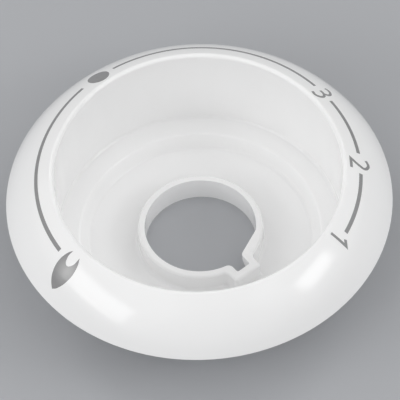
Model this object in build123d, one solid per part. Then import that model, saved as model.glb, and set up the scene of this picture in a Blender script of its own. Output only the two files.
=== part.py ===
from build123d import *
from math import acos, asin, atan2, cos, degrees, radians, sin, sqrt, tan
import os

# Dial ring of a cooker control knob: one thin-walled moulding in white plastic.
# A domed rim carries the scale, a deep stepped cup takes the knob, and a short keyed collar
# in the cup's floor goes round the knob's hub. Millimetres, +Z up along the bore,
# origin at the centre of the bore in the plane of the underside that it rests on.

# Shell
outer_diameter = 62.0
overall_height = 19.5
shell_wall = 1.0

# Rim: a domed flank arc that runs tangent into a small round crest and a round at its edge
opening_diameter = 46.0
crest_radius = 0.5
flank_radius = 18.2
edge_height = 11.8
edge_round = 0.1

# Cup: a drafted wall, a ledge at its foot and a sloping step down to the flat floor
wall_draft = 0.25
ledge_width = 3.4
ledge_rise = 0.25
step_width = 1.4
step_height = 2.05
wall_foot_round = 0.5
ledge_edge_round = 0.5
floor_round = 0.5

# Collar round the bore; the bore is straight up to a land's top and drafted open above it
bore_diameter = 18.0
bore_land = 3.1
bore_draft = 1.0
collar_wall = 1.15
collar_height = 4.55
collar_top_round = 0.45
collar_foot_round = 0.6

# Key slot in the bore, with the collar bulging outwards round it
key_azimuth = -52.3
key_width = 2.5
key_depth = 1.9
key_wall = 1.35
key_mouth_round = 0.95
key_end_round = 0.3
bulge_round = 0.6
bulge_blend = 1.0

# Catch: a lip across one side of the bore at the collar's top, next to the key slot.
# It is flat in front, slopes back below, and the slot flares out under it.
catch_depth = 0.55
catch_land = 0.4
catch_slope = 30.0
slot_flare = 1.3

bore_radius = bore_diameter / 2
outer_radius = outer_diameter / 2
opening_radius = opening_diameter / 2
key_end = bore_radius + key_depth
bulge_reach = key_end + key_wall
catch_distance = bore_radius - catch_depth
tolerance = 1e-4


def angle_of(arrow):
    return degrees(atan2(arrow.Y, arrow.X))


def shell():
    """The rim, cup and floor: a half section of even wall, turned round the bore axis."""
    # In the section x is the radius and y is the height
    crest_center = Vector(opening_radius + crest_radius, overall_height - crest_radius)
    edge_center = Vector(outer_radius - edge_round, edge_height + edge_round)

    # The flank's centre lies where both tangencies hold
    to_crest = flank_radius - crest_radius
    to_edge = flank_radius - edge_round
    span = edge_center - crest_center
    along = (span.length**2 + to_crest**2 - to_edge**2) / (2 * span.length)
    across = sqrt(to_crest**2 - along**2)
    forward = span.normalized()
    inward = Vector(forward.Y, -forward.X)
    flank_center = crest_center + forward * along + inward * across

    # Cup, along the floor from beyond the axis, up the step, over the ledge and up the wall
    draft = radians(wall_draft)
    ledge_height = shell_wall + step_height
    wall_foot_height = ledge_height + ledge_rise
    wall_top = crest_center + Vector(-cos(draft), sin(draft)) * crest_radius
    wall_foot_radius = wall_top.X - (wall_top.Y - wall_foot_height) * tan(draft)
    ledge_radius = wall_foot_radius - ledge_width
    cup = FilletPolyline(
        (-outer_radius, shell_wall),
        (ledge_radius - step_width, shell_wall),
        (ledge_radius, ledge_height),
        (wall_foot_radius, wall_foot_height),
        wall_top,
        radius=[floor_round, ledge_edge_round, wall_foot_round],
    )

    # Rim, over the crest and down the flank, which runs on past the edge to be trimmed there
    crest_start = angle_of(wall_top - crest_center)
    flank_start = angle_of(crest_center - flank_center)
    overrun = degrees(2 * shell_wall / flank_radius)
    flank_end = angle_of(edge_center - flank_center) - overrun
    crest = CenterArc(crest_center, crest_radius, crest_start, flank_start - crest_start)
    flank = CenterArc(flank_center, flank_radius, flank_start, flank_end - flank_start)

    # The wall is all that lies behind the line that shows, less the same set back by the wall
    deep = -outer_diameter
    back = Polyline(flank @ 1, ((flank @ 1).X, deep), (-outer_radius, deep), cup @ 0)
    behind = make_face([*cup.edges(), crest.edge(), flank.edge(), *back.edges()])
    section = behind - offset(behind, -shell_wall)
    section &= Pos(0, -shell_wall) * Rectangle(outer_diameter, outer_diameter, align=Align.MIN)
    below_edge = Rectangle(outer_radius, outer_diameter, align=(Align.MIN, Align.MAX))
    section -= Pos(opening_radius + shell_wall, edge_height) * below_edge
    section = fillet(section.vertices().sort_by(Axis.X)[-1], edge_round)
    return revolve(Plane.XZ * section, axis=Axis.Z)


def collar():
    """Collar round the bore, bulging round the key slot; the slot points along +X here."""
    bulge = Rectangle(bulge_reach, key_width + 2 * key_wall, align=(Align.MIN, Align.CENTER))
    outline = Circle(bore_radius + collar_wall) + bulge
    outline = fillet(outline.vertices().group_by(Axis.X)[-1], bulge_round)
    outline = fillet(outline.vertices().group_by(Axis.X)[0], bulge_blend)
    body = extrude(outline, collar_height)
    return fillet(body.edges().group_by(Axis.Z)[-1], collar_top_round)


def bore():
    """What is open through floor and collar: the bore and key slot, narrowed by the catch."""
    # One end of the catch falls inside the slot, midway between its centre and its side
    catch_turn = degrees(acos(catch_distance / bore_radius) + asin(key_width / 4 / bore_radius))
    catch_frame = Rot(Z=catch_turn)

    # In front of the catch the bore is open over its whole height
    slot = Rectangle(key_end, key_width, align=(Align.MIN, Align.CENTER))
    slot = fillet(slot.vertices().group_by(Axis.X)[-1], key_end_round)
    beyond = Rectangle(bore_diameter, bore_diameter, align=(Align.MIN, Align.CENTER))
    clear = Circle(bore_radius) - catch_frame * Pos(catch_distance) * beyond + slot
    clear = fillet(clear.vertices().filter_by(is_mouth), key_mouth_round)

    # Below the catch it keeps its full width, and the slot flares towards the catch's side
    flare = Polygon(
        (0, 0),
        (key_end, 0),
        (key_end, key_width / 2 - key_end_round),
        (catch_distance, key_width / 2 + slot_flare),
        (0, key_width / 2 + slot_flare),
        align=None,
    )
    below = opened(Circle(bore_radius) + flare)
    land_bottom = collar_height - catch_land
    slope_drop = (bulge_reach - catch_distance) / tan(radians(catch_slope))
    catch_section = Polygon(
        (catch_distance, overall_height),
        (catch_distance, land_bottom),
        (bulge_reach, land_bottom - slope_drop),
        (bulge_reach, overall_height),
        align=None,
    )
    catch = extrude(Plane.XZ * catch_section, bore_radius, both=True)
    return opened(clear) + (below - catch_frame * catch)


def opened(outline):
    """An outline cut right through, with draft above the bore's land."""
    outline = Pos(Z=bore_land) * outline
    return extrude(outline, -overall_height) + extrude(outline, overall_height, taper=-bore_draft)


def is_mouth(corner):
    """A corner where a side of the key slot opens into the bore."""
    return corner.X < bore_radius and abs(abs(corner.Y) - key_width / 2) < tolerance


turned = Rot(Z=key_azimuth)
plain_ring = shell()
boss = turned * collar()
dial_ring = plain_ring + boss
dial_ring = fillet(new_edges(plain_ring, boss, combined=dial_ring), collar_foot_round)
dial_ring -= turned * bore()
dial_ring.label = "dial_ring"

os.makedirs("parts", exist_ok=True)
export_step(dial_ring, "parts/dial_ring.step")
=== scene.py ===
from math import cos, radians, sin

import bmesh
import bpy
from mathutils import Matrix, Vector
from mathutils.bvhtree import BVHTree


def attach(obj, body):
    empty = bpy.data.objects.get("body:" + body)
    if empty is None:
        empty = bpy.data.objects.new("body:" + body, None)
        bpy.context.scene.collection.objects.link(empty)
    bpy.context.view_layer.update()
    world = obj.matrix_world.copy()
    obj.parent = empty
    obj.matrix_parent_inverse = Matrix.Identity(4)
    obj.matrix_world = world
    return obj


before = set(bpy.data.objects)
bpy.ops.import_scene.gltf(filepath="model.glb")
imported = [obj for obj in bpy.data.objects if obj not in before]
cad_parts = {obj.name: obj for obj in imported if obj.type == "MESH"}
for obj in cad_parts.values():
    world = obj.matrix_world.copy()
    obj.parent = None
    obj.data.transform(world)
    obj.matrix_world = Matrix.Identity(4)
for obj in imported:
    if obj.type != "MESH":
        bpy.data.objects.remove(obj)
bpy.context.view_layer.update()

# Dial ring
# One thin injection moulding in glossy white plastic: rim, cup, floor and keyed collar in one.
# The tool is polished on the side that shows and left dull behind, where the ring meets the panel.

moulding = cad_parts["dial_ring"]

plastic_white = (0.965, 0.965, 0.965, 1)
plastic_shade = (0.95, 0.95, 0.95, 1)
polished_roughness = 0.12
smear_roughness = 0.05
dull_roughness = 0.42
dull_below = -0.1
all_dull_below = -0.35
cloud_size = 0.012
smear_size = 0.004
ripple_size = 0.0065
ripple_share = 0.8
peel_size = 0.0006
peel_share = 0.04
relief_strength = 0.04
relief_height = 0.00004
plastic_ior = 1.5


class Signal:
    """An output socket of a material's nodes; arithmetic on it adds Math nodes."""

    def __init__(self, tree, socket):
        self.tree = tree
        self.socket = socket

    def node(self, kind, settings, values, output=0):
        """Any other node: its type, its settings, then what its sockets take."""
        made = self.tree.nodes.new(kind)
        for name, value in settings.items():
            setattr(made, name, value)
        for name, value in values.items():
            if isinstance(value, Signal):
                self.tree.links.new(value.socket, made.inputs[name])
            else:
                made.inputs[name].default_value = value
        return Signal(self.tree, made.outputs[output])

    def maths(self, operation, first, second):
        return self.node("ShaderNodeMath", {"operation": operation}, {0: first, 1: second})

    def __add__(self, other):
        return self.maths("ADD", self, other)

    def __radd__(self, other):
        return self.maths("ADD", other, self)

    def __sub__(self, other):
        return self.maths("SUBTRACT", self, other)

    def __rsub__(self, other):
        return self.maths("SUBTRACT", other, self)

    def __mul__(self, other):
        return self.maths("MULTIPLY", self, other)

    def __rmul__(self, other):
        return self.maths("MULTIPLY", other, self)

    def noise(self, grain, detail):
        """Soft cloudy noise from 0 to 1 whose patches are about grain metres wide."""
        return self.node(
            "ShaderNodeTexNoise", {}, {"Vector": self, "Scale": 1 / grain, "Detail": detail}, "Fac"
        )

    def eased(self, low, high):
        """Goes smoothly from 0 to 1 as this goes from low to high."""
        return self.node(
            "ShaderNodeMapRange",
            {"interpolation_type": "SMOOTHSTEP"},
            {"Value": self, "From Min": low, "From Max": high, "To Min": 0.0, "To Max": 1.0},
        )

    def relief(self, strength, height):
        """A bump whose tops stand at most height metres above its lows."""
        return self.node(
            "ShaderNodeBump", {}, {"Strength": strength, "Distance": height, "Height": self}
        )

    def blended(self, first, second):
        """A colour that goes from first to second as this goes from 0 to 1."""
        return self.node(
            "ShaderNodeMix", {"data_type": "RGBA"}, {"Factor": self, 6: first, 7: second}, 2
        )


def new_material(name):
    """A material with its one shader, and the coordinates of the piece that wears it."""
    material = bpy.data.materials.new(name)
    material.use_nodes = True
    tree = material.node_tree
    shader = tree.nodes["Principled BSDF"]
    coordinates = tree.nodes.new("ShaderNodeTexCoord")
    return material, shader, Signal(tree, coordinates.outputs["Object"])


def feed(shader, name, signal):
    signal.tree.links.new(signal.socket, shader.inputs[name])


gloss_plastic, shader, place = new_material("gloss_white_plastic")
cloud = place.noise(cloud_size, detail=2)
smear = place.noise(smear_size, detail=4)
ripple = place.noise(ripple_size, detail=1)
peel = place.noise(peel_size, detail=2)
facing = place.node("ShaderNodeNewGeometry", {}, {}, "Normal")
upward = facing.node("ShaderNodeSeparateXYZ", {}, {"Vector": facing}, "Z")
behind = upward.eased(dull_below, all_dull_below)
polish = polished_roughness + smear_roughness * smear
feed(shader, "Base Color", cloud.blended(plastic_white, plastic_shade))
feed(shader, "Roughness", polish + behind * (dull_roughness - polish))
waves = ripple * ripple_share + peel * peel_share
feed(shader, "Normal", waves.relief(relief_strength, relief_height))
shader.inputs["IOR"].default_value = plastic_ior
moulding.data.materials.clear()
moulding.data.materials.append(gloss_plastic)

# Scale line on the rim
# Four runs of one thin line that ring the rim between its marks, in grey ink from a printing pad.
# The pad comes straight down, so the print keeps its drawn shape when seen from above.

print_radius = 0.0259
line_width = 0.00055
ink_film = 0.00002
ink_root = 0.00003
ink_grey = (0.28, 0.28, 0.283, 1)
ink_thin = (0.32, 0.32, 0.322, 1)
ink_roughness = 0.1
ink_ior = 1.45
mottle_size = 0.0009
grain_size = 0.00012
grain_roughness = 0.1
grain_strength = 0.15
grain_height = 0.00001
pad_height = 0.03
crease_angle = 40


def new_ink(name):
    """Ink of slightly uneven density with a fine grain; gives its colour along with the rest."""
    ink, shader, place = new_material(name)
    grain = place.noise(grain_size, detail=2)
    colour = place.noise(mottle_size, detail=3).blended(ink_grey, ink_thin)
    feed(shader, "Base Color", colour)
    feed(shader, "Roughness", ink_roughness + grain_roughness * grain)
    feed(shader, "Normal", grain.relief(grain_strength, grain_height))
    shader.inputs["IOR"].default_value = ink_ior
    return ink, shader, place, colour


print_ink = new_ink("grey_print_ink")[0]
rim_surface = BVHTree.FromObject(moulding, bpy.context.evaluated_depsgraph_get())


def lay_print(artwork, name, ink=print_ink):
    """Drops flat artwork straight down on the rim and gives the ink its thickness."""
    for vert in artwork.verts:
        above = Vector((vert.co.x, vert.co.y, pad_height))
        spot, tilt, _, _ = rim_surface.ray_cast(above, Vector((0, 0, -1)))
        vert.co = spot + tilt * (ink_film + vert.co.z)
    bmesh.ops.recalc_face_normals(artwork, faces=artwork.faces)
    for face in artwork.faces:
        if face.normal.z < 0:
            face.normal_flip()
    artwork.normal_update()
    bmesh.ops.solidify(artwork, geom=artwork.faces[:], thickness=ink_film + ink_root)
    bmesh.ops.recalc_face_normals(artwork, faces=artwork.faces)
    for face in artwork.faces:
        face.smooth = True
    for edge in artwork.edges:
        edge.smooth = edge.calc_face_angle(0) < radians(crease_angle)
    mesh = bpy.data.meshes.new(name)
    artwork.to_mesh(mesh)
    artwork.free()
    mesh.materials.append(ink)
    piece = bpy.data.objects.new(name, mesh)
    bpy.context.scene.collection.objects.link(piece)
    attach(piece, "root")


def print_line(name, start, end):
    """One run of the line, between two bearings round the bore in degrees."""
    line = bmesh.new()
    inner = line.verts.new((print_radius - line_width / 2, 0, 0))
    outer = line.verts.new((print_radius + line_width / 2, 0, 0))
    across = line.edges.new((inner, outer))
    bmesh.ops.rotate(line, verts=line.verts, matrix=Matrix.Rotation(radians(start), 3, "Z"))
    bmesh.ops.spin(
        line,
        geom=[inner, outer, across],
        axis=(0, 0, 1),
        angle=radians(end - start),
        steps=round(end - start),
    )
    lay_print(line, name)


print_line("line_flame_to_off", start=134.2, end=210.6)
print_line("line_off_to_3", start=41.4, end=120.3)
print_line("line_3_to_2", start=7.2, end=32.6)
print_line("line_2_to_1", start=-27.9, end=-1.8)

# Off mark
# A round dot in the line at the knob's rest position, in the same ink and from the same pad.
# It is wider than the line, so it bends over the rim in both directions.

dot_radius = 0.00178
dot_bearing = 126.7
dot_segments = 72
mark_reach = 0.004
mesh_step = 0.0004


def print_mark(artwork, name, bearing, ink=print_ink):
    """Prints a mark drawn about the origin, its top along +Y, at a bearing round the rim."""
    cuts = round(mark_reach / mesh_step)
    for axis in (Vector((1, 0, 0)), Vector((0, 1, 0))):
        for cut in range(-cuts, cuts + 1):
            bmesh.ops.bisect_plane(
                artwork,
                geom=artwork.verts[:] + artwork.edges[:] + artwork.faces[:],
                plane_co=axis * cut * mesh_step,
                plane_no=axis,
            )
    outward = Matrix.Translation((0, print_radius, 0))
    turn = Matrix.Rotation(radians(bearing - 90), 4, "Z")
    bmesh.ops.transform(artwork, verts=artwork.verts, matrix=turn @ outward)
    lay_print(artwork, name, ink)


dot = bmesh.new()
bmesh.ops.create_circle(dot, cap_ends=True, radius=dot_radius, segments=dot_segments)
print_mark(dot, "off_dot", dot_bearing)

# Numbers
# Plain numbers in one even stroke with sharp corners, which stand across the line with their
# tops outwards. They are part of the same print.

pen_width = 0.00044
under = -0.000004
curve_steps = 10
weld = 1e-7
one_bearing = -31.8
two_bearing = 2.8
three_bearing = 37.5


def drawn(points, corners, closed):
    """A flat curve through points in millimetres, smooth except at the numbered corners."""
    curve = bpy.data.curves.new("drawn", "CURVE")
    curve.dimensions = "2D"
    curve.fill_mode = "BOTH"
    curve.resolution_u = curve_steps
    spline = curve.splines.new("BEZIER")
    spline.bezier_points.add(len(points) - 1)
    spline.use_cyclic_u = closed
    for index, (point, (x, y)) in enumerate(zip(spline.bezier_points, points)):
        point.co = (x / 1000, y / 1000, 0)
        bend = "VECTOR" if index in corners else "AUTO"
        point.handle_left_type = bend
        point.handle_right_type = bend
    drawing = bpy.data.objects.new("drawn", curve)
    mesh = bpy.data.meshes.new_from_object(drawing)
    bpy.data.objects.remove(drawing)
    return mesh


def write(number, points, corners=(), depth=0.0):
    """Adds one stroke of the pen to a number: both halves of its width along the drawn path."""
    path = drawn(points, corners, closed=False)
    for half in (pen_width / 2, -pen_width / 2):
        ribbon = bmesh.new()
        ribbon.from_mesh(path)
        raised = bmesh.ops.extrude_edge_only(ribbon, edges=ribbon.edges[:])["geom"]
        top = [v for v in raised if isinstance(v, bmesh.types.BMVert)]
        bmesh.ops.translate(ribbon, verts=top, vec=(0, 0, pen_width))
        bmesh.ops.recalc_face_normals(ribbon, faces=ribbon.faces)
        bmesh.ops.solidify(ribbon, geom=ribbon.faces[:], thickness=half)
        upright = [f for f in ribbon.faces if any(v.co.z > pen_width / 2 for v in f.verts)]
        bmesh.ops.delete(ribbon, geom=upright, context="FACES")
        bmesh.ops.translate(ribbon, verts=ribbon.verts, vec=(0, 0, depth))
        flat = bpy.data.meshes.new("stroke")
        ribbon.to_mesh(flat)
        ribbon.free()
        number.from_mesh(flat)
    bmesh.ops.remove_doubles(number, verts=number.verts, dist=weld)


one = bmesh.new()
stem_and_flag = [(0.16, -1.66), (0.05, 1.0), (-0.74, 0.42)]
write(one, stem_and_flag, corners=(0, 1, 2))
print_mark(one, "number_1", one_bearing)

two = bmesh.new()
hook = [(-0.97, 1.0), (-0.28, 1.31), (0.36, 1.17), (0.82, 0.62), (0.6, -0.02)]
foot = [(-0.5, -1.45), (1.3, -1.5)]
write(two, hook + foot, corners=(5, 6))
print_mark(two, "number_2", two_bearing)

three = bmesh.new()
lower_bowl = [(-0.44, 0.0), (0.5, -0.09), (1.1, -0.75), (0.4, -1.68), (-0.56, -1.58)]
upper_bowl = [(-0.97, 1.36), (-0.5, 1.62), (0.25, 1.46), (0.84, 0.75), (0.45, -0.05)]
write(three, lower_bowl)
write(three, upper_bowl, depth=under)
print_mark(three, "number_3", three_bearing)

# Flame sign
# A plain flame filled with the same ink, where the line ends at the highest setting. Its middle
# # is painted paler in the ink's colour: a painted highlight, the left softbox's reflection across
# it.

flame_bearing = -143.0
flame_highlight_centre = (0.027, 0.0003, 0.0171)
# Reach and colour of the painted highlight on the flame's ink.
flame_highlight_reach = 0.0028
ink_painted_highlight = (0.46, 0.46, 0.46, 1)
flame_outline = [
    (0.14, 3.8),
    (0.98, 3.22),
    (1.6, 2.42),
    (1.91, 1.04),
    (1.38, -0.71),
    (0.89, -1.31),
    (0.94, -0.19),
    (0.25, 0.64),
    (-0.66, 0.09),
    (-0.89, -1.23),
    (-1.54, -0.06),
    (-1.58, 1.75),
    (-0.62, 3.34),
]

flame_ink, shader, place, colour = new_ink("print_ink_painted_highlight")
highlight_centre = Matrix.Rotation(radians(flame_bearing), 3, "Z") @ Vector(flame_highlight_centre)
away = place.node(
    "ShaderNodeVectorMath", {"operation": "DISTANCE"}, {0: place, 1: highlight_centre}, "Value"
)
# Painted highlight: the ink's colour turns paler towards the flame's middle, where the softbox
# reflects.
feed(shader, "Base Color", away.eased(flame_highlight_reach, 0.0).blended(colour, ink_painted_highlight))

flame = bmesh.new()
flame.from_mesh(drawn(flame_outline, corners=(0, 5, 9), closed=True))
print_mark(flame, "flame_sign", flame_bearing, flame_ink)

# Floor
# A plain pale sheet that the ring stands on, laid flat and wide enough to fill every view.
# It is matt board with hardly any change of tone.

floor_grey = (0.42, 0.43, 0.45, 1)
floor_light = (0.46, 0.47, 0.49, 1)
floor_roughness = 0.6
floor_radius = 3
floor_segments = 96
tone_size = 0.2

floor = bmesh.new()
bmesh.ops.create_circle(floor, cap_ends=True, radius=floor_radius, segments=floor_segments)
mesh = bpy.data.meshes.new("floor")
floor.to_mesh(mesh)
floor.free()
floor_sheet = bpy.data.objects.new("floor", mesh)
bpy.context.scene.collection.objects.link(floor_sheet)
floor_paper, shader, place = new_material("pale_floor")
feed(shader, "Base Color", place.noise(tone_size, detail=2).blended(floor_grey, floor_light))
shader.inputs["Roughness"].default_value = floor_roughness
mesh.materials.append(floor_paper)

# Light
# A pale room with soft panels all round and above, and a brighter softbox low on either side
# in front, whose reflections lie on the rim.

room_white = (1, 1, 1, 1)
room_level = 0.33

world = bpy.data.worlds.new("bright_room")
bpy.context.scene.world = world
world.use_nodes = True
room = world.node_tree.nodes["Background"]
room.inputs["Color"].default_value = room_white
room.inputs["Strength"].default_value = room_level


def softbox(name, bearing, height, distance, width, depth, power):
    """A soft lamp at a bearing round the ring and an angle above the floor, aimed at the ring."""
    lamp = bpy.data.lights.new(name, "AREA")
    lamp.shape = "RECTANGLE"
    lamp.size = width
    lamp.size_y = depth
    lamp.energy = power
    holder = bpy.data.objects.new(name, lamp)
    bpy.context.scene.collection.objects.link(holder)
    flat = cos(radians(height))
    toward = Vector(
        (flat * cos(radians(bearing)), flat * sin(radians(bearing)), sin(radians(height)))
    )
    holder.location = toward * distance
    holder.rotation_euler = toward.to_track_quat("Z", "Y").to_euler()


softbox("key_left", bearing=-152, height=29, distance=0.6, width=0.4, depth=0.2, power=0.7)
softbox("key_right", bearing=-19, height=35, distance=0.6, width=0.22, depth=0.14, power=0.38)
softbox("panel_left", bearing=-170, height=42, distance=0.9, width=1.8, depth=1.0, power=2.2)
softbox("panel_right", bearing=0, height=42, distance=0.9, width=1.4, depth=0.9, power=2.2)
softbox("panel_front", bearing=-90, height=40, distance=1.0, width=1.6, depth=0.9, power=1.35)
softbox("panel_back_left", bearing=130, height=33, distance=0.9, width=0.2, depth=0.3, power=0.5)
softbox("panel_back_right", bearing=50, height=33, distance=0.9, width=0.2, depth=0.3, power=0.5)
softbox("panel_above", bearing=-90, height=89, distance=0.8, width=0.6, depth=0.6, power=0.75)

# Camera
# A long lens from the front, about 54 degrees above the floor, fitted to the round edges
# of the ring as the photograph shows them.

sensor_width = 36
focal_length = 411.7
nearest = 0.05
farthest = 50
camera_place = (0, -0.428553, 0.607466)
camera_pitch = 35.70085
camera_roll = 1.40573
camera_pan = -1.971

camera = bpy.data.objects.new("camera", bpy.data.cameras.new("camera"))
bpy.context.scene.collection.objects.link(camera)
camera.data.sensor_width = sensor_width
camera.data.lens = focal_length
camera.data.clip_start = nearest
camera.data.clip_end = farthest
camera.location = camera_place
camera.rotation_euler = (radians(camera_pitch), radians(camera_roll), radians(camera_pan))
bpy.context.scene.camera = camera
bpy.context.scene.view_settings.view_transform = "Standard"
